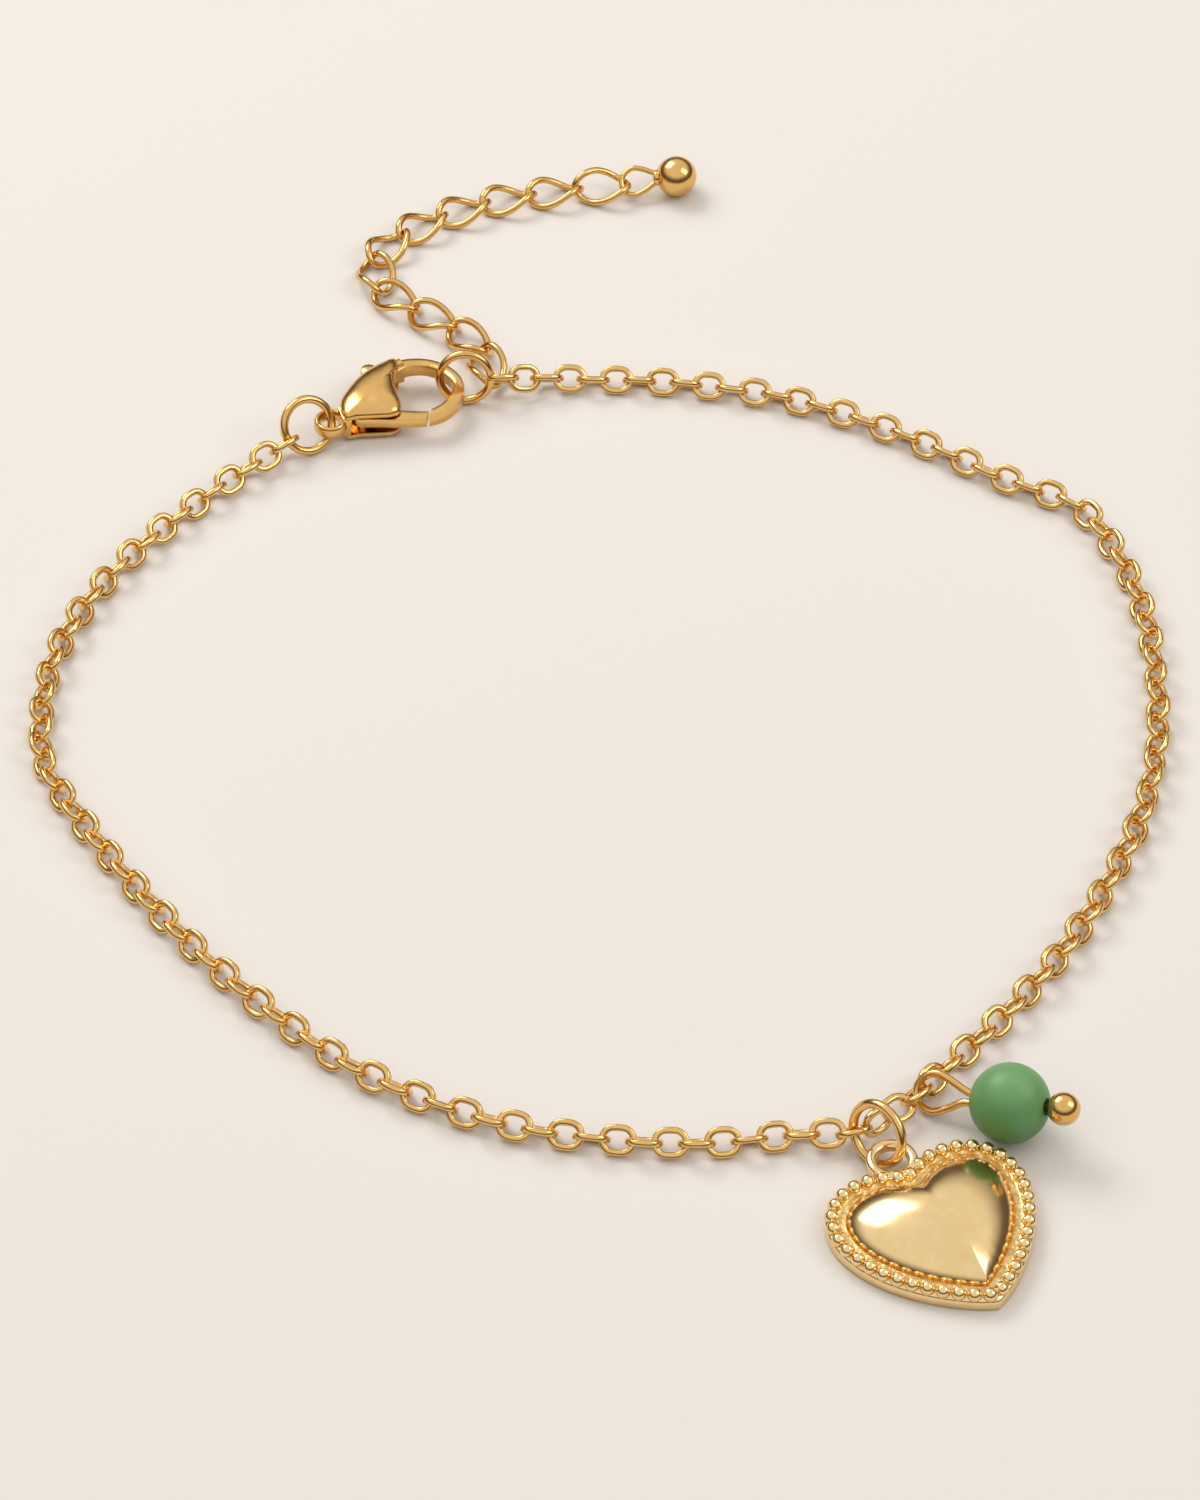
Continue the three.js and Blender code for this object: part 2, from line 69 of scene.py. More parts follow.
def unit(v):
    return v / max(np.linalg.norm(v), 1e-9)


def tube(line, section, closed=False, ref=(0, 0, 1), caps=True):
    """Sweeps a section (list of (a, b)) along a line; a is across, b is along ref."""
    line = np.array(line, float)
    n, m = len(line), len(section)
    V, F = [], []
    up = None
    for i in range(n):
        if closed:
            t = line[(i + 1) % n] - line[(i - 1) % n]
        else:
            t = line[min(i + 1, n - 1)] - line[max(i - 1, 0)]
        t = unit(t)
        r = np.array(ref, float) if up is None or closed else up
        b = unit(r - t * np.dot(r, t))
        up = b
        a = np.cross(b, t)
        for u, v in section:
            V.append(line[i] + a * u + b * v)
    for i in range(n if closed else n - 1):
        j = (i + 1) % n
        for k in range(m):
            l = (k + 1) % m
            F.append((i * m + k, i * m + l, j * m + l, j * m + k))
    if not closed and caps:
        F.append(tuple(range(m))[::-1])
        F.append(tuple((n - 1) * m + k for k in range(m)))
    return np.array(V), F


def circle(r, n):
    return [(r * math.cos(2 * math.pi * k / n), r * math.sin(2 * math.pi * k / n)) for k in range(n)]


def loft(rows, cap=True):
    m = len(rows[0])
    V = np.concatenate([np.array(r, float) for r in rows])
    F = []
    for i in range(len(rows) - 1):
        for k in range(m):
            l = (k + 1) % m
            F.append((i * m + k, i * m + l, (i + 1) * m + l, (i + 1) * m + k))
    if cap:
        F.append(tuple(range(m))[::-1])
        F.append(tuple((len(rows) - 1) * m + k for k in range(m)))
    return V, F


def lathe(profile, n):
    """Turns (x, r) rows about the x axis."""
    rows = []
    for k in range(n):
        a = 2 * math.pi * k / n
        rows.append([(x, r * math.cos(a), r * math.sin(a)) for x, r in profile])
    m = len(profile)
    V = np.concatenate([np.array(r, float) for r in rows])
    F = []
    for i in range(n):
        j = (i + 1) % n
        for k in range(m - 1):
            F.append((i * m + k, j * m + k, j * m + k + 1, i * m + k + 1))
    return V, F


def ball(c, r, n=24, poles=16):
    prof = [(-r * math.cos(math.pi * k / poles), max(r * math.sin(math.pi * k / poles), 1e-4)) for k in range(poles + 1)]
    V, F = lathe(prof, n)
    return V + np.array(c, float), F


def place(part, R, c):
    V, F = part
    return V @ np.array(R, float).T + np.array(c, float), F


def join(parts):
    V, F, o = [], [], 0
    for v, f in parts:
        V.append(v)
        F += [tuple(i + o for i in q) for q in f]
        o += len(v)
    return np.concatenate(V), F


def inset(P, by):
    """Moves a counter-clockwise closed outline inwards by a distance."""
    P = np.array(P, float)
    nx, pv = np.roll(P, -1, 0), np.roll(P, 1, 0)
    t = nx - pv
    t /= np.maximum(np.linalg.norm(t, axis=1)[:, None], 1e-9)
    return P + np.stack([-t[:, 1], t[:, 0]], 1) * by


def ccw(P):
    P = np.array(P, float)
    x, y = P[:, 0], P[:, 1]
    return P if np.sum(x * np.roll(y, -1) - y * np.roll(x, -1)) > 0 else P[::-1]


def at(P, z):
    return np.column_stack([P, np.full(len(P), z)])


def add(name, part, mat, node, body=BODY, angle=40):
    V, F = part
    me = bpy.data.meshes.new(name)
    W = (V - np.array([OX, OY, 0])) * 0.001
    me.from_pydata([tuple(map(float, v)) for v in W], [], F)
    me.validate()
    import bmesh
    bm = bmesh.new()
    bm.from_mesh(me)
    bmesh.ops.remove_doubles(bm, verts=bm.verts, dist=1e-6)
    bmesh.ops.recalc_face_normals(bm, faces=bm.faces)
    bm.to_mesh(me)
    bm.free()
    me.shade_smooth()
    me.set_sharp_from_angle(angle=math.radians(angle))
    me.materials.append(mat)
    ob = bpy.data.objects.new(name, me)
    bpy.context.scene.collection.objects.link(ob)
    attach(ob, body)
    if node:
        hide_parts(*([node] if isinstance(node, str) else node))
    return ob


# ------------------------------------------------------------ materials
def metal(name, light, dark, rough, bump=0.02, scale=900.0):
    m = bpy.data.materials.new(name)
    m.use_nodes = True
    t = m.node_tree
    bs = t.nodes["Principled BSDF"]
    bs.inputs["Metallic"].default_value = 1.0
    co = t.nodes.new("ShaderNodeTexCoord")
    nz = t.nodes.new("ShaderNodeTexNoise")
    nz.inputs["Scale"].default_value = scale
    nz.inputs["Detail"].default_value = 4.0
    t.links.new(co.outputs["Object"], nz.inputs["Vector"])
    cr = t.nodes.new("ShaderNodeValToRGB")
    cr.color_ramp.elements[0].position = 0.3
    cr.color_ramp.elements[0].color = (*dark, 1)
    cr.color_ramp.elements[1].position = 0.7
    cr.color_ramp.elements[1].color = (*light, 1)
    t.links.new(nz.outputs["Fac"], cr.inputs["Fac"])
    t.links.new(cr.outputs["Color"], bs.inputs["Base Color"])
    mr = t.nodes.new("ShaderNodeMapRange")
    mr.inputs["To Min"].default_value = rough * 0.8
    mr.inputs["To Max"].default_value = rough * 1.25
    t.links.new(nz.outputs["Fac"], mr.inputs["Value"])
    t.links.new(mr.outputs["Result"], bs.inputs["Roughness"])
    bp = t.nodes.new("ShaderNodeBump")
    bp.inputs["Strength"].default_value = bump
    bp.inputs["Distance"].default_value = 0.0002
    t.links.new(nz.outputs["Fac"], bp.inputs["Height"])
    t.links.new(bp.outputs["Normal"], bs.inputs["Normal"])
    return m


GOLD = metal("gold", (0.88, 0.58, 0.22), (0.80, 0.50, 0.18), 0.17)
DEEP = metal("gold_deep", (0.84, 0.53, 0.19), (0.76, 0.46, 0.15), 0.17)
PALE = metal("gold_pale", (0.92, 0.70, 0.37), (0.88, 0.64, 0.31), 0.16, 0.01)
ROUGH = metal("gold_rough", (0.86, 0.64, 0.32), (0.60, 0.40, 0.16), 0.30, 0.9, 1600.0)

stone = bpy.data.materials.new("stone")
stone.use_nodes = True
t = stone.node_tree
bs = t.nodes["Principled BSDF"]
co = t.nodes.new("ShaderNodeTexCoord")
nz = t.nodes.new("ShaderNodeTexNoise")
nz.inputs["Scale"].default_value = 260.0
nz.inputs["Detail"].default_value = 5.0
t.links.new(co.outputs["Object"], nz.inputs["Vector"])
# Bead colour is noise mottling plus a height ramp over 0 to 7.2 mm above the floor. The mottling is the stone's own
# varied tone. The height ramp is painted shade, darker at the bottom of the bead and lighter at its top.
shade_height_xyz = t.nodes.new("ShaderNodeSeparateXYZ")
t.links.new(co.outputs["Object"], shade_height_xyz.inputs["Vector"])
mr = t.nodes.new("ShaderNodeMapRange")
mr.inputs["From Min"].default_value = 0.0
mr.inputs["From Max"].default_value = 0.0072
t.links.new(shade_height_xyz.outputs["Z"], mr.inputs["Value"])
ma = t.nodes.new("ShaderNodeMath")
ma.operation = "MULTIPLY_ADD"
ma.inputs[1].default_value = 0.28
t.links.new(nz.outputs["Fac"], ma.inputs[0])
t.links.new(mr.outputs["Result"], ma.inputs[2])
cr = t.nodes.new("ShaderNodeValToRGB")
cr.color_ramp.elements[0].position = 0.1
cr.color_ramp.elements[0].color = (0.045, 0.19, 0.04, 1)
cr.color_ramp.elements[1].position = 1.0
cr.color_ramp.elements[1].color = (0.165, 0.375, 0.145, 1)
t.links.new(ma.outputs["Value"], cr.inputs["Fac"])
t.links.new(cr.outputs["Color"], bs.inputs["Base Color"])
bs.inputs["Roughness"].default_value = 0.42
bs.inputs["Subsurface Weight"].default_value = 0.25
bs.inputs["Subsurface Scale"].default_value = 0.0012
bp = t.nodes.new("ShaderNodeBump")
bp.inputs["Strength"].default_value = 0.04
bp.inputs["Distance"].default_value = 0.0002
t.links.new(nz.outputs["Fac"], bp.inputs["Height"])
t.links.new(bp.outputs["Normal"], bs.inputs["Normal"])

# ------------------------------------------------------------ chain route (x, y, z)
ROUTE = [
    (-24.62, 33.05, 1.6), (-26.9, 31.2, 1.25), (-30.9, 27.35, 1.0), (-35.75, 21.63, 1.0), (-39.44, 15.52, 1.0),
    (-41.72, 9.2, 1.0), (-42.35, 3.2, 1.0), (-41.75, -2.5, 1.0), (-38.55, -8.6, 1.0), (-34.6, -14.7, 1.0),
    (-30.02, -20.9, 1.0), (-24.4, -27.1, 1.0), (-18.22, -32.68, 1.0), (-11.62, -36.62, 1.0), (-4.65, -39.09, 1.0),
    (2.69, -40.2, 1.0), (8.3, -40.3, 1.0), (13.82, -39.6, 1.05), (17.97, -39.62, 1.45), (20.4, -38.0, 1.3),
    (22.45, -35.95, 1.15), (25.2, -32.75, 1.0), (29.48, -27.7, 1.0), (33.7, -21.84, 1.0), (37.5, -14.8, 1.0),
    (40.35, -7.9, 1.0), (42.0, -0.6, 1.0), (42.42, 6.5, 1.0), (41.95, 14.0, 1.0), (40.2, 20.9, 1.0), (37.6, 26.0, 1.0),
    (32.6, 28.9, 1.0), (26.8, 32.75, 1.0), (20.4, 36.55, 1.0), (13.6, 39.25, 1.0), (6.3, 40.65, 1.0), (-0.5, 41.12, 1.0),
    (-4.6, 40.9, 1.3), (-8.35, 39.95, 2.1),
]
line = catmull(ROUTE, 24)
seg = np.linalg.norm(np.diff(line, axis=0), axis=1)
S = np.concatenate([[0], np.cumsum(seg)])
TOTAL = S[-1]


def along(s):
    s = min(max(s, -3), TOTAL + 3)
    if s < 0:
        return line[0] + unit(line[0] - line[1]) * -s
    if s > TOTAL:
        return line[-1] + unit(line[-1] - line[-2]) * (s - TOTAL)
    return np.array([np.interp(s, S, line[:, k]) for k in range(3)])


def nearest(p):
    return S[np.argmin(np.linalg.norm(line - np.array(p), axis=1))]


PITCH, END = 1.863, 0.55
s_heart, s_pin = nearest((17.97, -39.62, 1.45)), nearest((22.6, -35.8, 1.15))
n1 = round((s_heart - END) / PITCH)
n2 = round((s_pin - s_heart) / PITCH)
n3 = round((TOTAL - END - s_pin) / PITCH)
centres = [END + (s_heart - END) * k / n1 for k in range(n1)]
centres += [s_heart + (s_pin - s_heart) * k / n2 for k in range(n2)]
centres += [s_pin + (TOTAL - END - s_pin) * k / n3 for k in range(n3 + 1)]

# one flat cable link: rounded-rectangle band on a stadium
LINK_L, LINK_W, BAND, THICK = 2.78, 2.30, 0.48, 0.46
h = (LINK_L - LINK_W) / 2
ra = (LINK_W - BAND) / 2
centre_line = []
for k in range(24):
    a = 2 * math.pi * k / 24
    centre_line.append((math.copysign(h, math.cos(a)) + ra * math.cos(a) if abs(math.cos(a)) > 1e-6 else 0.0, ra * math.sin(a), 0))
b2, t2, bv = BAND / 2, THICK / 2, 0.09
SEC = [(b2, -t2 + bv), (b2, t2 - bv), (b2 - bv, t2), (-b2 + bv, t2), (-b2, t2 - bv), (-b2, -t2 + bv), (-b2 + bv, -t2), (b2 - bv, -t2)]
LINK = tube(centre_line, SEC, closed=True, ref=(0, 0, 1))
parts = []
for k, s in enumerate(centres):
    T = unit(along(s + 0.5) - along(s - 0.5))
    side = unit(np.cross((0, 0, 1), T))
    upv = np.cross(T, side)
    turn = -45 if (k - n1) % 2 == 0 else 45
    u = min(max((s - s_heart) / (s_pin - s_heart), 0), 1)
    if n2 % 2 == 1:
        turn += 90 * u
    turn += 5 * math.sin(k * 2.1)
    r = math.radians(turn)
    lat = side * math.cos(r) + upv * math.sin(r)
    nor = np.cross(T, lat)
    parts.append(place(LINK, np.column_stack([T, lat, nor]), along(s)))
add("chain_links", join(parts), GOLD, "chain", angle=50)

# ------------------------------------------------------------ jump rings
RINGS = {
    "clasp_ring": (2.07, 0.34, -23.2, 34.4, math.radians(52), math.radians(27)),
    "junction_ring": (2.05, 0.34, -10.8, 39.84, math.radians(75), 0.0),
}


def ring(name, R, w, c, across, up):
    across, up = unit(np.array(across, float)), unit(np.array(up, float))
    nor = np.cross(across, up)
    z = w + 0.02 + math.hypot(across[2], up[2]) * R
    pts = [(R * math.cos(2 * math.pi * k / 64), R * math.sin(2 * math.pi * k / 64), 0) for k in range(64)]
    part = place(tube(pts, circle(w, 16), closed=True), np.column_stack([across, up, nor]), (c[0], c[1], z))
    add(name + "_wire", part, DEEP if name != "heart_ring" else GOLD, name, angle=60)


for n, (R, w, x, y, l, tt) in RINGS.items():
    ring(n, R, w, (x, y), (math.cos(tt), math.sin(tt) * math.sin(l), -math.sin(tt) * math.cos(l)), (0, math.cos(l), math.sin(l)))
ring("heart_ring", 2.25, 0.35, (19.571, -40.81), (0.646, -0.348, 0.68), (-0.342, 0.664, 0.664))

# ------------------------------------------------------------ extender
EXT = [(-8.95, 40.75, 0.86), (-9.35, 44.7, 0.86), (-11.98, 47.75, 0.86), (-15.25, 49.95, 0.86), (-18.15, 52.45, 0.86), (-18.65, 56.1, 0.86),
       (-16.5, 59.2, 0.86), (-13.25, 61.55, 0.86), (-9.6, 63.3, 0.86), (-5.75, 64.4, 0.86), (-1.75, 65.15, 0.86), (2.1, 65.35, 0.86)]
el = catmull(EXT, 24)
es = np.concatenate([[0], np.cumsum(np.linalg.norm(np.diff(el, axis=0), axis=1))])
meets = [np.array([np.interp(es[-1] * k / 11, es, el[:, j]) for j in range(3)]) for k in range(12)]
tw = []
for k in range(40):
    a = 2 * math.pi * k / 40
    x, y = 2.25 * math.cos(a), 1.4 * math.sin(a)
    f = math.radians(50) * x / 2.25
    tw.append((x, y * math.cos(f), -y * math.sin(f)))
CURB = tube(tw, circle(0.28, 12), closed=True, ref=(0.0, 0.1, 1))
parts = []
for k in range(11):
    a, b = meets[k], meets[k + 1]
    T = unit(b - a)
    side = np.array([-T[1], T[0], 0])
    up = np.array([0, 0, 1.0])
    if k == 10:
        r = math.radians(28)
        side, up = side * math.cos(r) + up * math.sin(r), up * math.cos(r) - side * math.sin(r)
    c = (a + b) / 2 + np.array([0, -0.2 if k == 10 else 0, 0.38 if k == 10 else 0.22 if k == 0 else 0])
    parts.append(place(CURB, np.column_stack([T, side, up]), c))
add("extender_curb", join(parts), DEEP, ["extender_link_%02d" % k for k in range(1, 12)], angle=60)

hd = math.atan2(65.78 - meets[11][1], 6.35 - meets[11][0])
EYE = [(-0.5, 0.38), (-1.75, 0.42), (-2.7, 0.9), (-3.6, 1.14), (-4.35, 0.72), (-4.58, 0), (-4.35, -0.72), (-3.6, -1.14), (-2.7, -0.9), (-1.75, -0.42), (-0.5, -0.38)]
eye = catmull([(x, y * 0.8, y * 0.6 - max(0, -x - 1.5) * 0.14) for x, y in EYE], 6)
Rz = [[math.cos(hd), -math.sin(hd), 0], [math.sin(hd), math.cos(hd), 0], [0, 0, 1]]
col = lathe([(-1.95, 1e-4), (-1.95, 0.5), (-1.88, 0.62), (-1.6, 0.66), (-1.4, 0.55), (-1.4, 1e-4)], 24)
add("extender_drop", place(join([ball((0, 0, 0), 1.69, 40, 24), col, tube(eye, circle(0.23, 12), ref=(0, -0.6, 0.8))]), Rz, (6.35, 65.78, 1.71)), DEEP, "extender_ball", angle=60)

# ------------------------------------------------------------ pin and bead
tl, tu = math.radians(15.5), math.radians(-22.5)
aim = np.array([math.cos(tl) * math.cos(tu), math.cos(tl) * math.sin(tu), math.sin(tl)])
lean = unit(np.cross((0, -math.sqrt(.5), math.sqrt(.5)), aim))
flat = unit(np.cross(aim, lean))
PR = np.column_stack([aim, lean, flat])
PC = (29.01, -38.26, 2.92)
L, W, R = 6.2, 1.38, 0.18
PL = [(-1.6, 0.3), (-2.8, 0.3), (-3.6, 0.42 + R), (-4.7, 1.0 + R), (-L + 0.35, W + R), (-L - 0.55, 1.02 + R), (-L - 1.05, 0.1 + R),
      (-L - 0.62, -0.98 + R), (-L + 0.3, -W + R), (-4.7, -1.02 + R), (-3.6, -0.5 + R), (-2.8, -0.3), (-1.4, -0.3), (-0.2, -0.08), (0.9, 0), (4.12, 0)]
pin = join([tube(catmull([(x, y, 0) for x, y in PL], 7), circle(0.29, 12), ref=(0, 0, 1)), ball((4.12, 0, 0), 1.2, 32, 20)])
add("head_pin_wire", place(pin, PR, PC), DEEP, "bead_pin", angle=60)
br, hr = 2.9, 0.62
x0 = math.sqrt(br * br - (hr + 0.03) ** 2)
a0 = math.asin((hr + 0.03) / br)
prof = [(-x0 + 0.05, hr)] + [(-br * math.cos(a0 + (math.pi - 2 * a0) * k / 40), br * math.sin(a0 + (math.pi - 2 * a0) * k / 40)) for k in range(41)] + [(x0 - 0.05, hr), (0, hr), (-x0 + 0.05, hr)]
add("round_bead", place(lathe(prof, 56), PR, PC), stone, "stone_bead", angle=35)

# ------------------------------------------------------------ heart
HALF = [(0, 11.95), (0.92, 12.5), (2.99, 13.03), (5.05, 12.62), (6.56, 11.28), (7.12, 9.15), (6.75, 7.01), (5.83, 5.04), (4.48, 3.26), (2.88, 1.73), (1.2, 0.5), (0, -0.12)]
half = catmull([(x, y, 0) for x, y in HALF], 8)[:, :2]
rim = np.concatenate([half[:-1], (half[1:] * [-1, 1])[::-1]])
rim = ccw(rim)
M = np.array([0, 7.4])
rows = [at(inset(rim, d), z) for d, z in [(-0.36, 0.0), (-0.46, 0.1), (-0.48, 0.35), (-0.47, 0.8), (-0.38, 0.98), (-0.1, 1.06), (0.35, 1.02), (0.6, 0.93)]]
plate = loft(rows)


def inward(P, by):
    """Points on the rays from the middle that lie a distance inside the outline."""
    Q = np.concatenate([P, P[:1]])
    dense = np.concatenate([Q[i] + (Q[i + 1] - Q[i]) * np.linspace(0, 1, 12, endpoint=False)[:, None] for i in range(len(P))])
    out = []
    for p in P:
        v = p - M
        for f in np.linspace(1, 0.5, 160):
            q = M + v * f
            if np.min(np.linalg.norm(dense - q, axis=1)) >= by:
                break
        out.append(q)
    out = np.array(out)
    return (np.roll(out, 1, 0) + 2 * out + np.roll(out, -1, 0)) / 4


edge = inward(rim, 0.92)
ch = loft([at(inset(rim, 0.4), 0.96), at(inset(rim, 0.62), 0.95), at(inward(rim, 0.8), 0.97), at(inward(rim, 1.25), 0.98)])
drow = [at(edge, 0.6)]
N = 22
for k in range(N + 1):
    s = math.cos(k / N * math.pi / 2 * 0.985)
    zz = 0.95 + 2.3 * (1 - s ** 2.1) ** 0.62
    w = (1 - s) ** 1.3 * 0.6
    rel = edge - M
    rr = np.linalg.norm(rel, axis=1)[:, None]
    drow.append(at(M + s * ((1 - w) * rel + w * 5.2 * rel / rr), zz))
dome = loft(drow)
bl = []
rl = np.concatenate([rim, rim[:1]])
rs = np.concatenate([[0], np.cumsum(np.linalg.norm(np.diff(rl, axis=0), axis=1))])
for k in range(40):
    s = rs[-1] * (k + 0.5) / 40
    bl.append(ball((np.interp(s, rs, rl[:, 0]), np.interp(s, rs, rl[:, 1]), 1.18), 0.535, 16, 10))
ro, ri = 1.88, 1.1
rc, rw = (ro + ri) / 2, (ro - ri) / 2
bsec = [(rw * math.copysign(abs(math.cos(a)) ** 0.75, math.cos(a)), 0.42 * math.copysign(abs(math.sin(a)) ** 0.75, math.sin(a))) for a in [2 * math.pi * k / 16 for k in range(16)]]
bail = tube([(rc * math.cos(2 * math.pi * k / 48) - 0.15, rc * math.sin(2 * math.pi * k / 48) + 13.85, 1.17) for k in range(48)], bsec, closed=True)
hy = np.array([-math.cos(math.radians(-61.5)), -math.sin(math.radians(-61.5)), 0])
hx = np.array([hy[1], -hy[0], 0])
HR, HC = np.column_stack([hx, hy, (0, 0, 1)]), (27.332, -54.288, 0)
add("heart_casting", place(join([plate, dome, bail] + bl), HR, HC), PALE, "heart_charm", angle=50)
add("heart_channel", place(ch, HR, HC), ROUGH, None, angle=50)

# ------------------------------------------------------------ clasp
ca = math.radians(17.5)
CR = [[math.cos(ca), -math.sin(ca), 0], [math.sin(ca), math.cos(ca), 0], [0, 0, 1]]
CC = (-21.42, 35.13, 0)
BODYP = [(1.05, 0.95), (2.35, 2.7), (3.47, 3.7), (4.5, 4.3), (5.7, 4.75), (6.7, 4.9), (6.75, 3.9), (6.15, 3.1), (5.85, 1.9), (5.78, 0.6),
         (5.72, -0.45), (5.35, -1.25), (4.7, -1.5), (3.6, -1.3), (2.1, -0.95), (1.05, -0.8)]
bo = ccw(catmull([(x, y, 0) for x, y in BODYP], 5, closed=True)[:, :2])
MC = np.array([3.9, 1.2])


def scaled(P, s):
    return MC + (P - MC) * s


low = loft([at(scaled(bo, s), z) for s, z in [(0.7, 0.0), (0.84, 0.07), (0.93, 0.19), (0.98, 0.36), (1, 0.55), (1, 0.68), (0.98, 0.75)]])
top = loft([at(scaled(bo, s), z) for s, z in [(0.98, 2.3), (1, 2.37), (1, 2.55), (0.985, 2.68), (0.94, 2.83), (0.86, 2.97), (0.74, 3.1), (0.58, 3.2), (0.4, 3.27), (0.2, 3.3), (0.03, 3.31)]])


def bar(P, z0, z1, r=0.2):
    P = ccw(P)
    return loft([at(inset(P, r), z0), at(inset(P, r * 0.3), z0 + r * 0.3), at(P, z0 + r), at(P, z1 - r), at(inset(P, r * 0.3), z1 - r * 0.3), at(inset(P, r), z1)])


HO = [(5.2, 4.5), (6.9, 4.98), (8.6, 4.75), (9.85, 4.05), (10.8, 2.95), (11.25, 1.7), (11.25, 0.5), (10.85, -0.5), (10.2, -1.3), (9.3, -1.95), (8.4, -2.28), (7.5, -2.34)]
HI = [(7.98, -1.42), (8.75, -1.12), (9.6, -0.5), (10.25, 0.4), (10.4, 1.4), (9.95, 2.6), (8.85, 3.65), (7.5, 3.95), (6.5, 3.6), (5.4, 2.4)]


def spaced(P, n):
    d = np.concatenate([[0], np.cumsum(np.linalg.norm(np.diff(P, axis=0), axis=1))])
    q = np.linspace(0, d[-1], n)
    return np.column_stack([np.interp(q, d, P[:, 0]), np.interp(q, d, P[:, 1])])


ho = spaced(catmull([(x, y, 0) for x, y in HO], 5)[:, :2], 56)
hi = spaced(catmull([(x, y, 0) for x, y in HI], 5)[:, :2][::-1], 56)
rows = []
for o, i in zip(ho, hi):
    wd = np.linalg.norm(o - i)
    e = 0.2 / wd
    sec = [(0, 1.38), (e * 0.3, 1.21), (e, 1.15), (1 - e, 1.15), (1 - e * 0.3, 1.21), (1, 1.38), (1, 2.12), (1 - e * 0.3, 2.29), (1 - e, 2.35), (e, 2.35), (e * 0.3, 2.29), (0, 2.12)]
    rows.append([(*(i + (o - i) * f), z) for f, z in sec])
hook = loft(rows)
neck = bar([(5.9, 4.0), (7.3, 4.2), (7.1, 4.85), (5.6, 4.75)], 0.5, 2.6, 0.12)
tail = bar([(0.8, -0.7), (1.42, -0.8), (1.42, 1.1), (0.8, 0.75)], 0.6, 2.5, 0.12)
tro, tri = 1.36, 0.85
tc, twd = (tro + tri) / 2, (tro - tri) / 2
tsec = [(twd * math.cos(a), 0.55 * math.copysign(abs(math.sin(a)) ** 0.7, math.sin(a))) for a in [2 * math.pi * k / 14 for k in range(14)]]
tloop = tube([(tc * math.cos(2 * math.pi * k / 40), tc * math.sin(2 * math.pi * k / 40), 1.6) for k in range(40)], tsec, closed=True)
rv, rf = lathe([(0.6, 1e-4), (0.6, 0.42), (2.5, 0.42), (2.5, 1e-4)], 20)
rivet = (np.column_stack([rv[:, 1] + 2.6, rv[:, 2] + 0.1, rv[:, 0]]), rf)
add("clasp_casting", place(join([low, top, hook, neck, tail, tloop, rivet]), CR, CC), DEEP, "clasp_body", angle=40)
LV = [(1.85, -0.4), (2.5, -0.85), (3.6, -1.2), (4.8, -1.62), (6.2, -2.05), (7.28, -2.28), (7.74, -1.42), (6.6, -1.02), (5.3, -0.5), (4.1, 0.1), (4.0, 1.6),
      (4.6, 3.4), (4.95, 4.5), (4.05, 4.7), (3.3, 3.2), (2.6, 1.6), (1.85, 0.65)]
kn = [(2.6 + 0.95 * math.cos(2 * math.pi * k / 24), 0.1 + 0.95 * math.sin(2 * math.pi * k / 24)) for k in range(24)]
tb = [(4.55 + 0.66 * math.cos(2 * math.pi * k / 24), 4.95 + 0.66 * math.sin(2 * math.pi * k / 24)) for k in range(24)]
add("clasp_trigger", place(join([bar(LV, 1.2, 2.1, 0.1), bar(kn, 1.22, 2.08, 0.08), bar(tb, 1.22, 2.08, 0.25)]), CR, CC), DEEP, "clasp_lever", LEVER, angle=40)

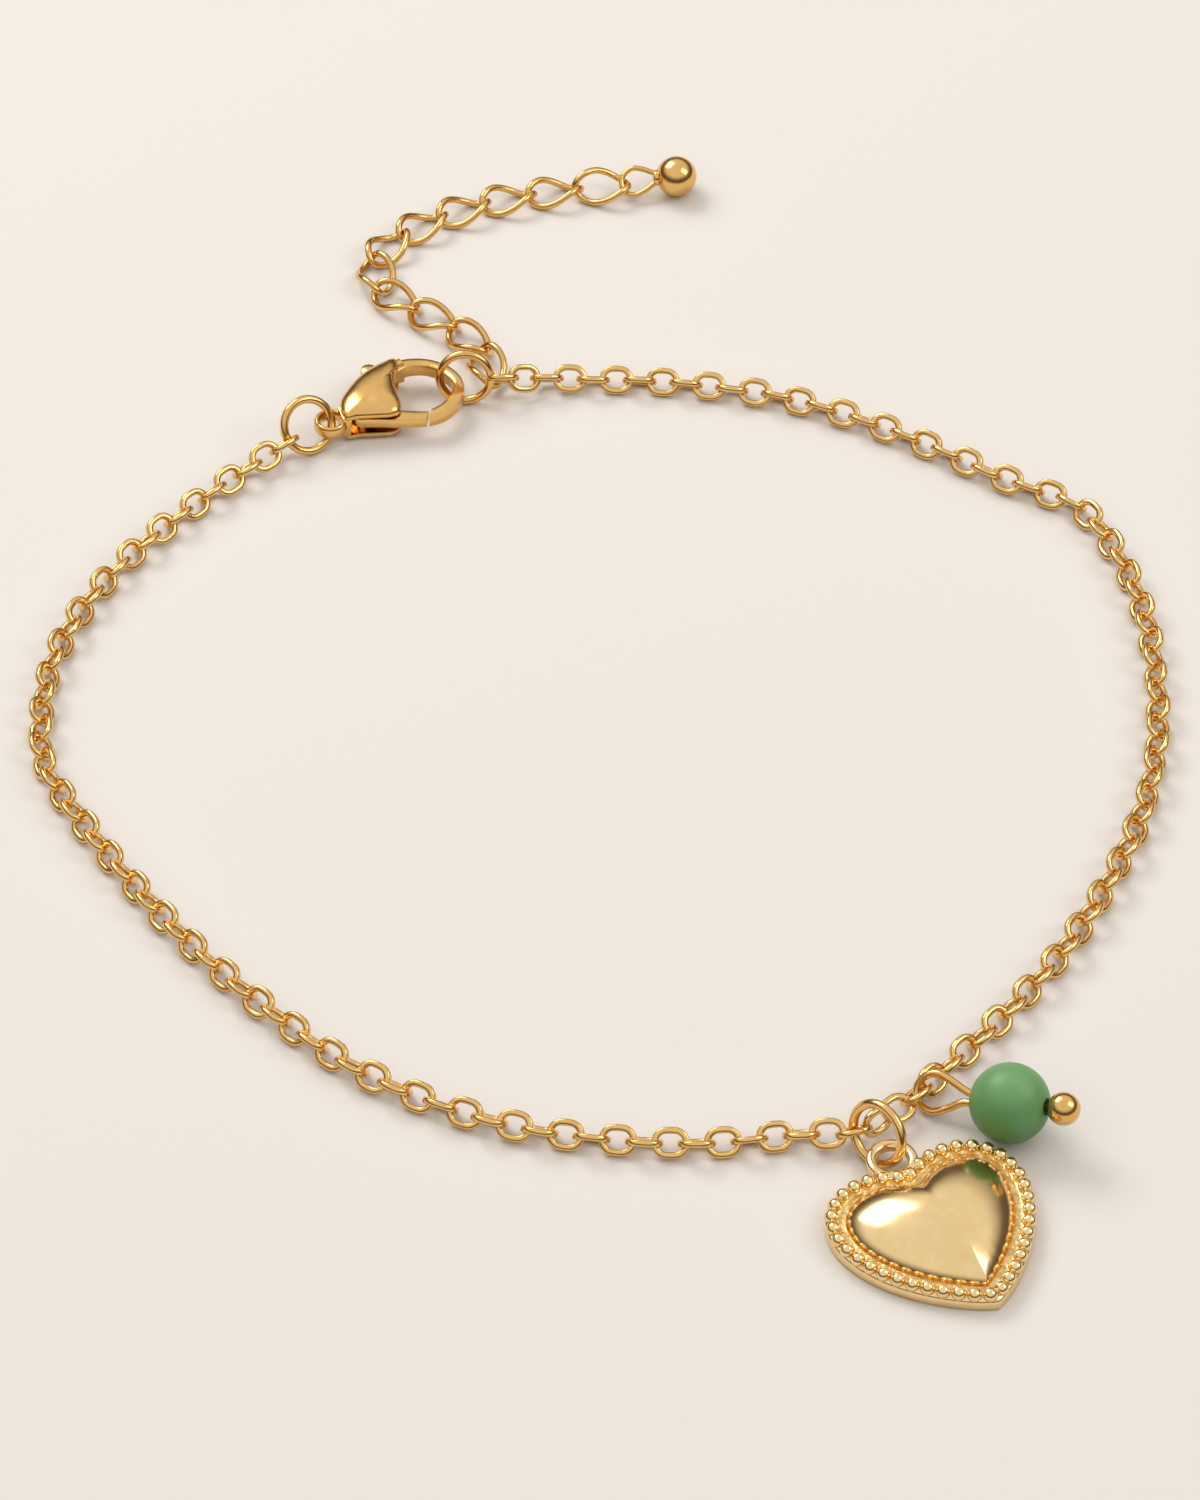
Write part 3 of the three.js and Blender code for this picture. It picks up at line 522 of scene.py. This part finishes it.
# ------------------------------------------------------------ stage, light, camera
fm = bpy.data.materials.new("floor")
fm.use_nodes = True
fb = fm.node_tree.nodes["Principled BSDF"]
fb.inputs["Base Color"].default_value = (0.77, 0.735, 0.70, 1)
fb.inputs["Roughness"].default_value = 0.75
me = bpy.data.meshes.new("floor")
me.from_pydata([(-3, -3, 0), (3, -3, 0), (3, 3, 0), (-3, 3, 0)], [], [(0, 1, 2, 3)])
me.materials.append(fm)
floor = bpy.data.objects.new("floor", me)
bpy.context.scene.collection.objects.link(floor)


def area(name, loc, size, power, color=(1, 1, 1)):
    d = bpy.data.lights.new(name, "AREA")
    d.shape = "RECTANGLE"
    d.size, d.size_y, d.energy, d.color = size[0], size[1], power, color
    o = bpy.data.objects.new(name, d)
    o.location = loc
    o.rotation_euler = (Vector((0, 0, 0)) - Vector(loc)).to_track_quat("-Z", "Y").to_euler()
    bpy.context.scene.collection.objects.link(o)


area("key", (-0.35, 0.40, 0.55), (0.45, 0.35), 2.6, (1, 0.97, 0.93))
area("fill", (0.45, -0.05, 0.45), (0.25, 0.35), 0.7, (1, 0.98, 0.96))
w = bpy.data.worlds.new("studio")
bpy.context.scene.world = w
w.use_nodes = True
wt = w.node_tree
bg = wt.nodes["Background"]
tc2 = wt.nodes.new("ShaderNodeTexCoord")
sx = wt.nodes.new("ShaderNodeSeparateXYZ")
wr = wt.nodes.new("ShaderNodeValToRGB")
wr.color_ramp.elements[0].position = 0.0
wr.color_ramp.elements[0].color = (0.10, 0.065, 0.04, 1)
wr.color_ramp.elements[1].position = 1.0
wr.color_ramp.elements[1].color = (0.95, 0.93, 0.90, 1)
e = wr.color_ramp.elements.new(0.3)
e.color = (0.17, 0.135, 0.10, 1)
e = wr.color_ramp.elements.new(0.6)
e.color = (1.0, 0.96, 0.91, 1)
wt.links.new(tc2.outputs["Generated"], sx.inputs["Vector"])
wt.links.new(sx.outputs["Z"], wr.inputs["Fac"])
wt.links.new(wr.outputs["Color"], bg.inputs["Color"])
bg.inputs["Strength"].default_value = 0.9

cd = bpy.data.cameras.new("cam")
cd.lens, cd.sensor_width = 144.0, 36.0
cam = bpy.data.objects.new("cam", cd)
cam.location = (-OX * 0.001, (-320.875 - OY) * 0.001, 0.320875)
cam.rotation_euler = (math.radians(45), 0, 0)
bpy.context.scene.collection.objects.link(cam)
bpy.context.scene.camera = cam
cd.dof.use_dof = False
bpy.context.scene.view_settings.view_transform = "Standard"
